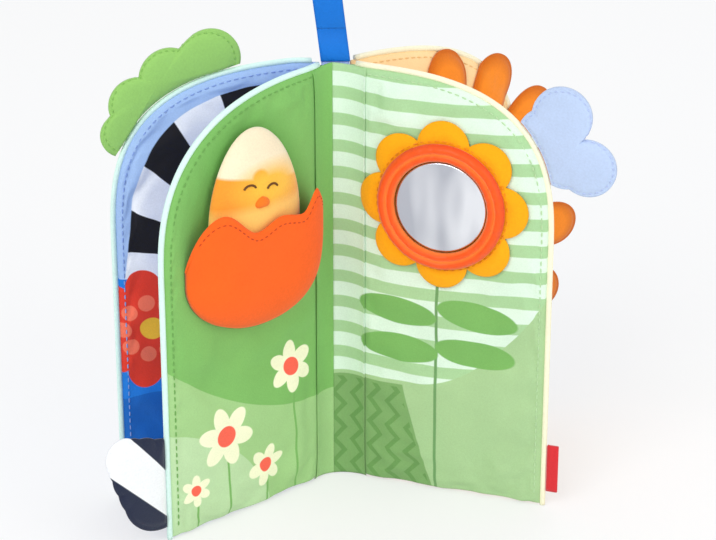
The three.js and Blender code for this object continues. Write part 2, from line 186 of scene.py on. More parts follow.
class Leaf:
    """A page's own frame and outline."""

    def __init__(self, name, facing, direction, stack, offset, power):
        self.name = name
        self.body = name + "_leaf"
        self.facing = facing
        self.angle = math.radians(direction)
        self.stack = stack
        self.offset = offset
        self.power = power

    def middle(self, u):
        """The page's middle plane, which leaves the gutter close to the hinge line."""
        share = np.clip(u / FOLD_WIDTH, 0, 1)
        start = self.stack * SEAM_OFFSET
        return start + (self.offset - start) * eased(share)

    def top(self, u, spare=0.0):
        """The arch's height at u, for an outline that is larger by the spare."""
        share = np.clip(u / (CLOTH_REACH + spare), 0, 1)
        rise = CLOTH_HEIGHT + spare - ARCH_START
        return ARCH_START + rise * (1 - share ** self.power) ** (1 / self.power)

    def swell(self, u, v):
        """Half the page's thickness: little at a seam and most over its middle."""
        sides = rolled(u - STRIP_WIDTH, ROLL_OVER) * rolled(CLOTH_REACH - u, ROLL_OVER)
        ends = rolled(v + FOOT_SPARE, ROLL_OVER) * rolled(self.top(u) - v, ROLL_OVER)
        return RIM_HALF + (CROWN - RIM_HALF) * (sides * ends)

    def face(self, u, v):
        """The front cloth's height over the hinge plane."""
        return self.middle(u) + self.swell(u, v)

    def place(self, u, v, w):
        """Places on the page in the frame's metres."""
        u, v, w = np.broadcast_arrays(u, v, w)
        cos, sin = math.cos(self.angle), math.sin(self.angle)
        x = -self.facing * HINGE_OFFSET + cos * u - sin * self.facing * w
        y = sin * u + cos * self.facing * w
        return joined(x, y, v) * MM

    def raised(self, u, v, w):
        """Places on the page, and at each the step of a millimetre out of its front face."""
        points = self.place(u, v, w)
        return points, self.place(u, v, w + 1) - points

    def edge(self, clearance, inset, count, outward):
        """Points along the outline, moved outward, and the way out at each, both as (u, v).

        t runs up the straight side to 1 and round the arch toward 2, where the hinge line is."""
        quarter = math.pi / 2
        end = 2 - math.asin((clearance / CLOTH_REACH) ** (self.power / 2)) / quarter
        t = np.linspace(inset, 1, count) * end
        share = np.maximum(ways((np.maximum(t, 1) - 1) * quarter), 0) ** (2 / self.power)
        reach = np.array([CLOTH_REACH, CLOTH_HEIGHT - ARCH_START])
        normal = share ** (self.power - 1) / reach
        normal /= np.linalg.norm(normal, axis=1)[:, None]
        foot = joined(np.zeros(count), ARCH_START * np.minimum(t, 1))
        return foot + share * reach + outward * normal, normal


FRONT_LEFT = Leaf("front_left", 1, 220.3, 1, 3.5, 2.6)
FRONT_RIGHT = Leaf("front_right", -1, -21.5, 1, 3.0, 3.0)
REAR_LEFT = Leaf("rear_left", 1, 196.0, -1, -6.0, 3.0)
REAR_RIGHT = Leaf("rear_right", -1, 32.0, -1, -2.5, 3.0)


# Prints and materials

def set_inputs(tree, node, inputs):
    """Gives each input its value, or links it to the socket given for it."""
    for name, value in inputs.items():
        if isinstance(value, bpy.types.NodeSocket):
            tree.links.new(value, node.inputs[name])
        else:
            node.inputs[name].default_value = value


def add_node(tree, kind, inputs, **settings):
    node = tree.nodes.new("ShaderNode" + kind)
    for name, value in settings.items():
        setattr(node, name, value)
    set_inputs(tree, node, inputs)
    return node


def flat_colour(tree, code):
    node = add_node(tree, "RGB", {})
    node.outputs[0].default_value = linear(code)
    return node.outputs[0]


def mixed_colour(tree, share, first, second, blend_type="MIX"):
    """Two colours mixed; 6 and 7 are a mix node's inputs for colours, and 2 is its output for one."""
    node = add_node(tree, "Mix", {0: share, 6: first, 7: second}, data_type="RGBA", blend_type=blend_type)
    return node.outputs[2]


class Ink:
    """A number that varies over a surface, kept as a socket of a material's nodes."""

    def __init__(self, tree, socket):
        self.tree = tree
        self.socket = socket

    def apply(self, operation, other=None, clamp=False):
        inputs = {0: self.socket}
        if other is not None:
            inputs[1] = other.socket if isinstance(other, Ink) else other
        node = add_node(self.tree, "Math", inputs, operation=operation, use_clamp=clamp)
        return Ink(self.tree, node.outputs[0])

    __add__ = partialmethod(apply, "ADD")
    __sub__ = partialmethod(apply, "SUBTRACT")
    __mul__ = partialmethod(apply, "MULTIPLY")
    __truediv__ = partialmethod(apply, "DIVIDE")
    power = partialmethod(apply, "POWER")
    least = partialmethod(apply, "MINIMUM")
    most = partialmethod(apply, "MAXIMUM")
    size = partialmethod(apply, "ABSOLUTE")
    root = partialmethod(apply, "SQRT")
    sine = partialmethod(apply, "SINE")
    toward = partialmethod(apply, "ARCTAN2")

    def __neg__(self):
        return self * -1.0

    def wrapped(self, period):
        """The distance from the nearest multiple of the period."""
        return (self / period).apply("PINGPONG", 0.5) * period


class Print:
    """Draws flat shapes, one over another, on a page's cloth."""

    def __init__(self, tree, ground):
        self.tree = tree
        place = add_node(tree, "UVMap", {}, uv_map=PRINT_MAP)
        split = add_node(tree, "SeparateXYZ", {0: place.outputs[0]})
        self.u, self.v = (Ink(tree, split.outputs[k]) * (1 / UV_SCALE) for k in range(2))
        self.colour = flat_colour(tree, ground)

    def shape(self, colour, distance, soft=0.4, strength=1.0):
        """Lays the colour where the distance, in millimetres, is below zero."""
        mask = (-distance / soft + 0.5).apply("ADD", 0.0, clamp=True) * strength
        self.colour = mixed_colour(self.tree, mask.socket, self.colour, linear(colour))

    def oval(self, center_u, center_v, half_u, half_v, tilt=0.0):
        """The distance outside an oval, turned anticlockwise by the tilt in degrees."""
        cos, sin = math.cos(math.radians(tilt)), math.sin(math.radians(tilt))
        du = self.u - center_u
        dv = self.v - center_v
        along = (du * cos + dv * sin) / half_u
        across = (dv * cos - du * sin) / half_v
        return ((along * along + across * across).root() - 1.0) * min(half_u, half_v)

    def disc(self, center_u, center_v, radius):
        return self.oval(center_u, center_v, radius, radius)


def paint_meadow(page):
    """The page under the pocket: a green field above a rounded hill with daisies, and a painted shadow that
    darkens the grass round the chick.
    """
    shade, near_hill = (57, 158, 33, 46), (118, -22, 78)
    hill_top, hill_middle, hill_fall = 48.0, 8.0, 0.0044
    stem_half, stem_lean = 0.6, 0.06
    petals, petal_reach, petal_long, petal_wide, heart = 6, 7.0, 5.6, 3.5, 4.2
    # Painted shadow: a soft darker green oval on the grass where the chick and the pocket sit.
    page.shape(GRASS_PAINTED_SHADOW, page.oval(*shade), soft=16.0, strength=0.75)
    off_middle = page.u - hill_middle
    page.shape(HILL, page.v - hill_top - off_middle * off_middle * hill_fall)
    page.shape(HILL_PALE, page.disc(*near_hill))
    for center_u, center_v, scale in ((30, 70, 1.1), (72, 46, 1.3), (47, 22, 0.9), (90, 22, 0.7)):
        stem = (page.u - center_u - (page.v - center_v) * stem_lean).size() - stem_half
        page.shape(LEAF_GREEN, stem.most(page.v - center_v))
        for turn in around(petals):
            angle = turn + math.radians(center_u)
            petal_u = center_u + petal_reach * scale * math.cos(angle)
            petal_v = center_v + petal_reach * scale * math.sin(angle)
            halves = petal_long * scale, petal_wide * scale
            page.shape(DAISY, page.oval(petal_u, petal_v, *halves, math.degrees(angle)))
        page.shape(DAISY_HEART, page.disc(center_u, center_v, heart * scale))


def paint_garden(page):
    """The page under the flower: pale stripes above a plain ground, with a stem and four leaves."""
    wave_rate, wave_height, stripe_climb, stripe_pitch, stripe_half = 0.045, 1.6, 0.02, 13.6, 3.1
    ground_top, bend_start, bend_rate, bend_height = 58.0, 38.0, 0.055, 4.0
    patch_edge, lean_from, patch_lean, patch_top, patch_hem = 40.0, 28.0, 0.28, 56.0, 1.5
    zigzag_rise, zigzag_slope, zigzag_pitch, zigzag_half = 13.0, 0.9, 10.0, 1.6
    stem_u, stem_top, stem_half = 49.5, 116.0, 0.75
    leaves, leaf_halves = ((29, 96, -6), (30, 76, -3), (70, 98, -8), (69, 78, -5)), (20.5, 7.2)
    wave = (page.u * wave_rate).sine() * wave_height + page.u * stripe_climb
    page.shape(STRIPE_SAGE, (page.v + wave).wrapped(stripe_pitch) - stripe_half)
    bend = ((page.u - bend_start).most(0.0) * bend_rate).power(2.0) * bend_height
    page.shape(GROUND, page.v - ground_top - bend)
    patch = ((page.u - patch_edge) + (page.v - lean_from) * patch_lean).most(page.v - patch_top)
    page.shape(PATCH, patch)
    zigzag = (page.u + page.v.wrapped(zigzag_rise) * zigzag_slope).wrapped(zigzag_pitch) - zigzag_half
    page.shape(PATCH_DARK, zigzag.most(patch + patch_hem))
    page.shape(STEM, (page.u - stem_u).size().most(page.v - stem_top) - stem_half)
    for center_u, center_v, tilt in leaves:
        page.shape(LEAF_GREEN, page.oval(center_u, center_v, *leaf_halves, tilt))


def inside_edge(page, power=3.0, reach=92.0, least=0.001):
    """About the distance in from the page's outer edge."""
    across = (page.u / CLOTH_REACH).most(least).power(power)
    up = ((page.v - ARCH_START) / (CLOTH_HEIGHT - ARCH_START)).most(least).power(power)
    return (-(across + up).power(1 / power) + 1.0) * reach


def paint_night_garden(page):
    """The rear left page: a pale border and dark and light blocks above, a red bloom over blue below."""
    pond_top, pond_rate, pond_wave, night_top = 52.0, 0.09, 4.0, 30.0
    band_foot, band_inset, fan_u, fan_v = 117.0, 22.0, 30.0, 120.0
    block_start, block_pitch, block_half, block_scale = 17.6, 33.5, 8.4, 1.2
    border_width, border_spread, spread_below = 8.2, 0.1, 177.0
    bloom, bloom_radius, heart, petals = (88, 90), 24, 6, 9
    page.shape(POND, page.v - pond_top - (page.u * pond_rate).sine() * pond_wave)
    page.shape(NAVY, page.v - night_top)
    depth = inside_edge(page)
    angle = (page.v - fan_v).toward(page.u - fan_u) * math.degrees(1)
    band = (depth - band_inset).most(-page.v + band_foot)
    page.shape(WHITE, band)
    page.shape(BLACK, band.most(((angle - block_start).wrapped(block_pitch) - block_half) * block_scale))
    border = (-page.v + spread_below).most(0.0) * border_spread + depth - border_width
    page.shape(BORDER_BLUE, border.most(-page.v + band_foot))
    page.shape(RED, page.disc(*bloom, bloom_radius))
    for turn in around(petals):
        for colour, reach, radius in ((RED, 23, 8.5), (BLOOM_SPOT, 14, 4.0)):
            spot = bloom[0] + reach * math.cos(turn), bloom[1] + reach * math.sin(turn)
            page.shape(colour, page.disc(*spot, radius))
    page.shape(BLOOM_HEART, page.disc(*bloom, heart))


def paint_sunny_page(page):
    """The rear right page: peach cloth, with a paler disc inside the ring of petals."""
    halves, first_u, first_v, step_u, step_v, dot = (43, 54), 38, 88, 20, 18, 3.2
    page.shape(SUN_PALE, page.oval(*SUN, *halves))
    for row in range(4):
        for column in range(3):
            dot_u = first_u + step_u * (column + (row % 2) / 2)
            page.shape(SUN_DOT, page.disc(dot_u, first_v + step_v * row, dot))


def paint_dots(colour, pitch, radius):
    """A plain all-over pattern of dots, for the backs of the pages."""
    def paint(page):
        column = page.u.wrapped(pitch)
        row = page.v.wrapped(pitch)
        page.shape(colour, (column * column + row * row).root() - radius)
    return paint


def paint_egg(page):
    """The chick: cream above, with a warm band across its face and a small tuft over it."""
    band_top, band_slope, belly_top = 178.0, 0.16, 165.0
    tuft, cheek = (57, 178.8, 4.5, 4.0), (50, 174, 17, 9)
    band = page.v - band_top - (page.u - CHICK["u"]) * band_slope
    page.shape(EGG_BAND_DEEP, band.least(page.oval(*tuft)), soft=1.6)
    page.shape(EGG_BAND, page.oval(*cheek), soft=9.0)
    page.shape(EGG_BELLY, page.v - belly_top, soft=5.0)


def paint_tab(page):
    """A broad light band along the tab between two dark ones."""
    root_u, upper_v, upper_slope, lower_v, lower_slope, flatten = 107.0, 38.6, 1.19, 13.9, 0.987, 0.68
    out = page.u - root_u
    upper = page.v - upper_v - out * upper_slope
    lower = page.v - lower_v - out * lower_slope
    page.shape(WHITE, upper.most(-lower) * flatten)


def paint_ring(page):
    """Painted light along the groove between the ring's two ridges, a painted highlight along its inner edge
    and painted shade along its outer edge.
    """
    groove, groove_half, inner_light, outer_shade = 0.47, 0.07, 0.1, 0.9
    across = page.u * UV_SCALE
    # Painted light and shade: a lighter groove, a painted highlight at the inner edge, painted shade at the
    # outer edge.
    page.shape(SATIN_GROOVE, (across - groove).size() - groove_half, soft=0.14)
    page.shape(SATIN_PAINTED_HIGHLIGHT, across - inner_light, soft=0.16)
    page.shape(SATIN_PAINTED_SHADE, -across + outer_shade, soft=0.16)


def paint_petal_edge_shade(page):
    # Painted shade: each petal darkens to brown toward its outer edge.
    edge_start = 0.8
    page.shape(AMBER_PAINTED_SHADE, -(page.u * UV_SCALE - edge_start), soft=0.35, strength=0.8)


def new_material(name):
    """A material, its node tree and its shader."""
    material = bpy.data.materials.new(name)
    material.use_nodes = True
    return material, material.node_tree, material.node_tree.nodes["Principled BSDF"]


def fabric(name, ground, paint=None, roughness=0.85, sheen=0.15, grain=1400.0, depth=0.35):
    """A woven cloth: a printed or plain colour with a fine grain, slight fading and a soft sheen."""
    fading_share, thread_share, least_light = 0.12, 0.16, 0.86
    material, tree, shader = new_material(name)
    if paint is None:
        colour = flat_colour(tree, ground)
    else:
        page = Print(tree, ground)
        paint(page)
        colour = page.colour
    place = add_node(tree, "TexCoord", {}).outputs["Object"]
    fading = add_node(tree, "TexNoise", {"Vector": place, "Scale": 60.0, "Detail": 4.0}).outputs[0]
    threads = add_node(tree, "TexNoise", {"Vector": place, "Scale": grain, "Detail": 1.0}).outputs[0]
    light = Ink(tree, fading) * fading_share + Ink(tree, threads) * thread_share + least_light
    grey = add_node(tree, "CombineColor", {channel: light.socket for channel in range(3)}).outputs[0]
    bump = add_node(tree, "Bump", {"Strength": depth, "Distance": 0.0002, "Height": threads})
    set_inputs(tree, shader, {
        "Base Color": mixed_colour(tree, 1.0, colour, grey, "MULTIPLY"),
        "Normal": bump.outputs[0],
        "Roughness": roughness,
        "Sheen Weight": sheen,
        "Sheen Roughness": 0.5,
        "Specular IOR Level": 0.25,
    })
    return material


def jersey(name, colour, paint=None):
    return fabric(name, colour, paint, sheen=0.3, grain=1000.0)


def mirror_film():
    """Silvered plastic sheet, a little dull and uneven, with painted reflections: slanted light and dark
    streaks in its colour.
    """
    material, tree, shader = new_material("mirror_film")
    place = add_node(tree, "TexCoord", {}).outputs["Object"]
    slant = {"Vector": place, "Rotation": (0, math.radians(38), 0), "Scale": (75, 25, 22)}
    slanted = add_node(tree, "Mapping", slant).outputs[0]
    # Painted reflection: slanted grey and pale streaks laid into the metal's colour.
    reflection_streaks = add_node(tree, "TexNoise", {"Vector": slanted, "Scale": 1.0, "Detail": 1.0})
    ramp = add_node(tree, "ValToRGB", {0: reflection_streaks.outputs[0]})
    for stop, (position, code) in enumerate(((0.36, MIRROR_REFLECTION_DARK), (0.62, MIRROR_REFLECTION_LIGHT))):
        ramp.color_ramp.elements[stop].position = position
        ramp.color_ramp.elements[stop].color = linear(code)
    ripple = add_node(tree, "TexNoise", {"Vector": place, "Scale": 38.0, "Detail": 1.0})
    bump = add_node(tree, "Bump", {"Strength": 0.5, "Distance": 0.002, "Height": ripple.outputs[0]})
    set_inputs(tree, shader, {
        "Base Color": ramp.outputs[0], "Normal": bump.outputs[0], "Metallic": 1.0, "Roughness": 0.22,
    })
    return material


# Mesh building

def mesh_object(name, points, faces, materials, prints=None, face_materials=None):
    """An object of points in metres and their (u, v) on the print. Points that coincide are joined."""
    mesh = bpy.data.meshes.new(name)
    mesh.from_pydata(np.asarray(points).tolist(), [], faces)
    for material in materials:
        mesh.materials.append(material)
    if prints is not None:
        layer = mesh.uv_layers.new(name=PRINT_MAP)
        corners = np.empty(len(mesh.loops), dtype=np.int32)
        mesh.loops.foreach_get("vertex_index", corners)
        layer.data.foreach_set("uv", (np.asarray(prints)[corners] * UV_SCALE).astype(np.float32).ravel())
    if face_materials is not None:
        mesh.polygons.foreach_set("material_index", np.asarray(face_materials, dtype=np.int32))
    mesh.polygons.foreach_set("use_smooth", np.ones(len(mesh.polygons), dtype=bool))
    edit = bmesh.new()
    edit.from_mesh(mesh)
    bmesh.ops.remove_doubles(edit, verts=edit.verts, dist=0.00001)
    bmesh.ops.dissolve_degenerate(edit, edges=edit.edges, dist=0.000001)
    bmesh.ops.recalc_face_normals(edit, faces=edit.faces)
    edit.to_mesh(mesh)
    edit.free()
    obj = bpy.data.objects.new(name, mesh)
    bpy.context.scene.collection.objects.link(obj)
    return obj


def grid_faces(columns, rows, start=0):
    corners = [start + i * (rows + 1) + j for i in range(columns) for j in range(rows)]
    return [(corner, corner + rows + 1, corner + rows + 2, corner + 1) for corner in corners]


def rim_faces(columns, rows, other):
    """Faces that close the border between two grids, the second one starting at the point 'other'."""
    grid = np.arange((columns + 1) * (rows + 1)).reshape(columns + 1, rows + 1)
    border = np.concatenate([grid[:, 0], grid[-1, 1:], grid[-2::-1, -1], grid[0, -2:0:-1]])
    onward = np.roll(border, -1)
    return joined(border, onward, onward + other, border + other).tolist()


def sheet_object(name, skins, columns, rows, materials, prints=None, rim=True):
    """A sheet of two skins, each a grid of points; the second skin takes the last of the materials."""
    cells, other = columns * rows, len(skins[0])
    faces = grid_faces(columns, rows) + grid_faces(columns, rows, start=other)
    faces += rim_faces(columns, rows, other) if rim else []
    sides = [0] * cells + [len(materials) - 1] * cells + [0] * (len(faces) - 2 * cells)
    prints = np.concatenate(prints) if prints else None
    return mesh_object(name, np.concatenate(skins), faces, materials, prints, sides)


def loop_faces(loops, count, closed, start=0):
    """Faces between loops of points; closed joins the last loop to the first."""
    faces = []
    onward = [(m + 1) % count for m in range(count)]
    for k in range(loops if closed else loops - 1):
        here = start + k * count
        there = start + (k + 1) % loops * count
        faces += [(here + m, here + n, there + n, there + m) for m, n in enumerate(onward)]
    return faces


def capped_faces(loops, count):
    """Faces between loops, with a fan at each end round one of the two points after the loops."""
    faces = loop_faces(loops, count, closed=False)
    last = loops * count
    for m in range(count):
        turn = (m + 1) % count
        faces.append((turn, m, last))
        faces.append((last - count + m, last - count + turn, last + 1))
    return faces


def swept_object(name, loops, material):
    """A bar through loops of points, with a flat face at each end."""
    count = len(loops[0])
    faces = loop_faces(len(loops), count, closed=False)
    faces += [tuple(first + k for k in range(count)) for first in (0, (len(loops) - 1) * count)]
    return mesh_object(name, np.concatenate(loops), faces, [material])


def dress(obj, body, nodes=()):
    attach(obj, body)
    if nodes:
        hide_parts(*nodes)
    return obj


def smooth_more(obj, levels=1):
    modifier = obj.modifiers.new("smooth", "SUBSURF")
    modifier.levels = levels
    modifier.render_levels = levels


# Cloth simulation

CLOTH = {
    "quality": 5, "mass": 0.15, "tension_stiffness": 12, "compression_stiffness": 12, "shear_stiffness": 4,
    "bending_stiffness": 0.05, "use_pressure": True, "uniform_pressure_force": 4.0, "shrink_min": -0.06,
    "vertex_group_mass": "sewn",
}
CLOTH_FRAMES = 20
SMOOTHING_ROUNDS = 14
MOST_PUCKER = 3.0


def coordinates(mesh):
    values = np.empty(len(mesh.vertices) * 3)
    mesh.vertices.foreach_get("co", values)
    return values.reshape(-1, 3)


def neighbour_mean(values, edges, count):
    total = np.zeros_like(values)
    degree = np.zeros(count)
    for a, b in ((0, 1), (1, 0)):
        np.add.at(total, edges[:, a], values[edges[:, b]])
        np.add.at(degree, edges[:, a], 1)
    return total / np.maximum(degree, 1)[:, None]


def pucker(obj, loose):
    """Simulates the cover as slack cloth under pressure and keeps only the puckers it makes.

    loose is 0 where the cloth is sewn down and 1 where it is free."""
    mesh = obj.data
    rest = coordinates(mesh)
    group = obj.vertex_groups.new(name=CLOTH["vertex_group_mass"])
    for index, share in enumerate(loose):
        group.add([index], float(1 - share), "REPLACE")
    modifier = obj.modifiers.new("cloth", "CLOTH")
    for name, value in CLOTH.items():
        setattr(modifier.settings, name, value)
    modifier.settings.effector_weights.gravity = 0
    modifier.collision_settings.use_collision = False
    scene = bpy.context.scene
    for step in range(1, CLOTH_FRAMES + 1):
        scene.frame_set(step)
    after = coordinates(obj.evaluated_get(bpy.context.evaluated_depsgraph_get()).to_mesh())
    obj.modifiers.remove(modifier)
    obj.vertex_groups.remove(group)
    scene.frame_set(1)

    shift = np.nan_to_num(after - rest)
    edges = np.empty(len(mesh.edges) * 2, dtype=np.int32)
    mesh.edges.foreach_get("vertices", edges)
    edges = edges.reshape(-1, 2)
    even = shift.copy()
    for _ in range(SMOOTHING_ROUNDS):
        even = neighbour_mean(even, edges, len(rest))
    fine = shift - even
    limit = MOST_PUCKER * MM * np.asarray(loose)
    scale = limit / np.maximum(limit + np.linalg.norm(fine, axis=1), 1e-9)
    mesh.vertices.foreach_set("co", (rest + fine * scale[:, None]).ravel())
    mesh.update()


# Pages

FOLD = (-1.6, -3.4)
PAGE_COLUMNS = 34
PAGE_ROWS = 60
FLANGE_WIDTH = 3.2


def page_cover(leaf, materials, busy):
    """A page's two printed faces, padded between, with their joined edge tucked into the piping."""
    spread = STRIP_WIDTH + (CLOTH_REACH - STRIP_WIDTH) * crowded(PAGE_COLUMNS - 3)
    us = np.concatenate([[GUTTER_START, (GUTTER_START + STRIP_WIDTH) / 2], spread, [CLOTH_REACH + TUCK]])
    u = np.repeat(us[:, None], PAGE_ROWS + 1, axis=1)
    v = leaf.top(us, spare=TUCK)[:, None] * crowded(PAGE_ROWS)[None, :]
    swell = np.zeros(u.shape)
    swell[1:-1, 1:-1] = leaf.swell(u, v)[1:-1, 1:-1]
    skins = [leaf.place(u, v, leaf.middle(u) + side * swell).reshape(-1, 3) for side in (1, -1)]
    prints = [joined(u, v).reshape(-1, 2)] * 2
    obj = sheet_object(leaf.name + "_page", skins, len(us) - 1, PAGE_ROWS, materials, prints, rim=False)
    pucker(obj, looseness(leaf, coordinates(obj.data) / MM, busy))
    smooth_more(obj)
    nodes = [f"{leaf.name}_{layer}" for layer in ("front_cloth", "back_cloth", "wadding", "crinkle_film")]
    return dress(obj, leaf.body, nodes)


def looseness(leaf, points, busy):
    """How free the cloth is: sewn down along its edge, by the gutter and under what busy tells of."""
    sewn_strip, strip_ease, edge_ease, foot_ease = 4, 6, 4, 3
    cos, sin = math.cos(leaf.angle), math.sin(leaf.angle)
    x = points[:, 0] + leaf.facing * HINGE_OFFSET
    along = x * cos + points[:, 1] * sin
    out = (points[:, 1] * cos - x * sin) * leaf.facing
    up = points[:, 2]
    loose = rolled(along - STRIP_WIDTH - sewn_strip, strip_ease)
    loose = loose * rolled(CLOTH_REACH - FLANGE_WIDTH - along, edge_ease)
    loose = loose * rolled(leaf.top(along) - FLANGE_WIDTH - up, edge_ease) * rolled(up, foot_ease)
    return np.where(out > leaf.middle(along), loose * busy(along, up), loose)


def tube_object(name, points, normal, side, material, radius, sides):
    """A tube along points, with its two cross directions given at each point."""
    turns = around(sides)[:, None]
    loops = [
        point + radius * (np.cos(turns) * up + np.sin(turns) * across)
        for point, up, across in zip(points, normal, side)
    ]
    every = np.concatenate(loops + [points[:1], points[-1:]])
    return mesh_object(name, every, capped_faces(len(points), sides), [material])


def page_piping(leaf, material):
    """The covered cord that is sewn round the page's outer edge and arch."""
    line, way_out = leaf.edge(PIPING_CLEARANCE, inset=0, count=170, outward=PIPING_RADIUS + SEAT)
    middle = leaf.middle(line[:, 0])
    points, side = leaf.raised(*line.T, middle)
    normal = leaf.place(*(line + way_out).T, middle) - points
    obj = tube_object(leaf.name + "_cord_edge", points, normal, side, material, PIPING_RADIUS, sides=10)
    return dress(obj, leaf.body, [leaf.name + "_piping"])


def stitch_row(name, points, normal, material, length=2.4, gap=1.3, width=0.32):
    """Short raised stitches along a line of points, each a small rounded bar."""
    sides, end_size, middle_size, end_reach, rise = 6, 0.35, 1.15, 0.35 * MM, 0.1 * MM
    run = run_along(points)

    def found(values, distance):
        """What the values are at a distance along the line."""
        return np.array([np.interp(distance, run, values[:, k]) for k in range(3)])

    every, faces = [], []
    place = gap * MM
    while place + length * MM < run[-1]:
        first, middle, last = (found(points, place + share * length * MM) for share in (0, 0.5, 1))
        up = found(normal, place)
        up /= np.linalg.norm(up)
        along = (last - first) / np.linalg.norm(last - first)
        across = np.cross(along, up)
        start = len(every)
        rings = (
            (first, end_size), (first + along * end_reach, 1), (middle + up * rise, middle_size),
            (last - along * end_reach, 1), (last, end_size),
        )
        for base, size in rings:
            for angle in around(sides):
                way = math.cos(angle) * across + math.sin(angle) * up
                every.append(base + width * MM * size * way)
        faces += loop_faces(len(rings), sides, closed=False, start=start)
        faces += [tuple(range(end, end + sides)) for end in (start, len(every) - sides)]
        place += (length + gap) * MM
    return mesh_object(name, np.array(every), faces, [material])


def page_stitches(leaf, material):
    """The seam just inside the piping, on the page's front."""
    line, _ = leaf.edge(STITCH_CLEARANCE, inset=0.02, count=300, outward=-STITCH_INSET)
    points, normal = leaf.raised(*line.T, leaf.face(*line.T) + 0.05)
    return dress(stitch_row(leaf.name + "_edge_stitches", points, normal, material), leaf.body)


def gutter_cloth(leaf, material):
    """The page's cloth where it runs on over the binding's cord to the fold between the pages."""
    rows, steps, thick, bend_reach, end_ease = 72, 16, 0.55, 0.62, 3.5
    start_u, fold_top = STRIP_WIDTH + 3.0, CLOTH_HEIGHT + 2.2
    over, dip, dip_rate = 0.13, 0.63, 20
    levels = crowded(rows)
    shares = np.linspace(0, 1, steps + 1)
    page_top = leaf.top(start_u)
    page_v = page_top * levels

    def on_page(u):
        """The page's face at u, drawn in to its middle at the page's ends."""
        ends = rolled(page_v, end_ease) * rolled(page_top - page_v, end_ease)
        return leaf.place(u, page_v, leaf.middle(u) + leaf.swell(u, page_v) * ends)[:, :2] / MM

    near = on_page(start_u)
    inward = on_page(start_u - 1) - near
    fold = np.broadcast_to(FOLD, near.shape)
    bend = near + inward * np.linalg.norm(fold - near, axis=1)[:, None] * bend_reach
    s = shares[:, None, None]
    sheet = (1 - s) ** 2 * near + 2 * s * (1 - s) * bend + s ** 2 * fold
    along = np.gradient(sheet, axis=0)
    along /= np.linalg.norm(along, axis=2)[:, :, None]
    across = joined(along[:, :, 1], -along[:, :, 0]) * -leaf.facing
    us = start_u - run_along(sheet[:, rows // 2])
    z = (page_top + (fold_top - page_top) * shares)[:, None] * levels[None, :]
    surface = over - dip * np.exp(-dip_rate * shares)
    skins = []
    for lift in (surface, surface - thick):
        flat = sheet + across * lift[:, None, None]
        skins.append(np.concatenate([flat, z[:, :, None]], axis=2).reshape(-1, 3) * MM)
    prints = [joined(np.repeat(us[:, None], rows + 1, axis=1), z).reshape(-1, 2)] * 2
    obj = sheet_object(leaf.name + "_gutter", skins, steps, rows, [material], prints)
    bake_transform(obj)
    return obj


# Padded pieces on the pages

PAD_SHARES = np.array([0.2, 0.4, 0.58, 0.72, 0.82, 0.89, 0.93, 0.965, 1.0])
FLANGE_SHARE = 0.93


def lobed_outline(center, lobes, count=180):
    """The reach of round lobes from a centre, in count directions."""
    way = ways(around(count))
    reach = np.zeros(count)
    for lobe_u, lobe_v, radius in lobes:
        off_u, off_v = lobe_u - center[0], lobe_v - center[1]
        chord = radius ** 2 - (off_u * way[:, 1] - off_v * way[:, 0]) ** 2
        lobe = off_u * way[:, 0] + off_v * way[:, 1] + np.sqrt(np.maximum(chord, 0))
        reach = np.where(chord > 0, np.maximum(reach, lobe), reach)
    return reach[:, None] * way


def clear_of_page(leaf, center, outline, rounds=20):
    """Draws an outline back to the page's piping, where a flap is sewn in."""
    def beyond(share):
        u, v = (center + share * outline).T
        across = np.maximum(u / (REACH + SEAT), 0)
        up = np.maximum((v - ARCH_START) / (HEIGHT + SEAT - ARCH_START), 0)
        return (across ** leaf.power + up ** leaf.power > 1)[:, None]

    blocked = np.ones((len(outline), 1))
    clear = np.where(beyond(blocked), 1.0, 0.0)
    for _ in range(rounds):
        half = (clear + blocked) / 2
        free = beyond(half)
        clear, blocked = np.where(free, half, clear), np.where(free, blocked, half)
    return clear * outline


def padded_object(name, leaf, center, outline, shares, low, high, material, radial_print=False):
    """A pad over an outline. low and high give the heights of its skins from (u, v, share)."""
    center = np.array(center, float)
    points, prints, poles = [], [], []
    for skin, order in ((low, shares), (high, shares[::-1])):
        for share in order:
            place = center + share * outline
            points.append(leaf.place(*place.T, skin(*place.T, share)))
            prints.append(np.tile((share / UV_SCALE, 0), (len(place), 1)) if radial_print else place)
        poles.append(leaf.place(*center, skin(*map(np.array, center), 0.0)))
    faces = capped_faces(len(points), len(outline))
    prints.append(np.zeros((2, 2)) if radial_print else np.array([center, center]))
    return mesh_object(name, np.concatenate(points + [poles]), faces, [material], np.concatenate(prints))


def level_skin(height):
    """A skin whose height over the hinge plane follows the share alone."""
    return lambda u, v, share: height(share) + 0 * u


def flanged(share, rim, full):
    """A pad's half thickness: a flat sewn flange, then a plump middle."""
    if share >= FLANGE_SHARE:
        return rim
    return rim + (full - rim) * math.sqrt(1 - (share / FLANGE_SHARE) ** 2) ** 0.8


def edge_flap(leaf, name, node, center, lobes, sizes, material, body=None, stitches=None):
    """A padded flap whose root is sewn in along the page's edge."""
    outline = clear_of_page(leaf, center, lobed_outline(center, lobes))
    skins = [
        level_skin(lambda share, side=side: leaf.offset + side * flanged(share, *sizes)) for side in (-1, 1)
    ]
    obj = padded_object(name, leaf, center, outline, PAD_SHARES, *skins, material)
    dress(obj, body or leaf.body, [node])
    if stitches:
        line = np.array(center) + FLANGE_SHARE * outline
        line = np.concatenate([line, line[:1]])
        for face, word in ((1, "front"), (-1, "back")):
            points, normal = leaf.raised(*line.T, leaf.offset + face * (sizes[0] + 0.05))
            row = stitch_row(f"{name}_stitches_{word}", points, normal * face, stitches, length=1.8)
            dress(row, body or leaf.body)
    return obj


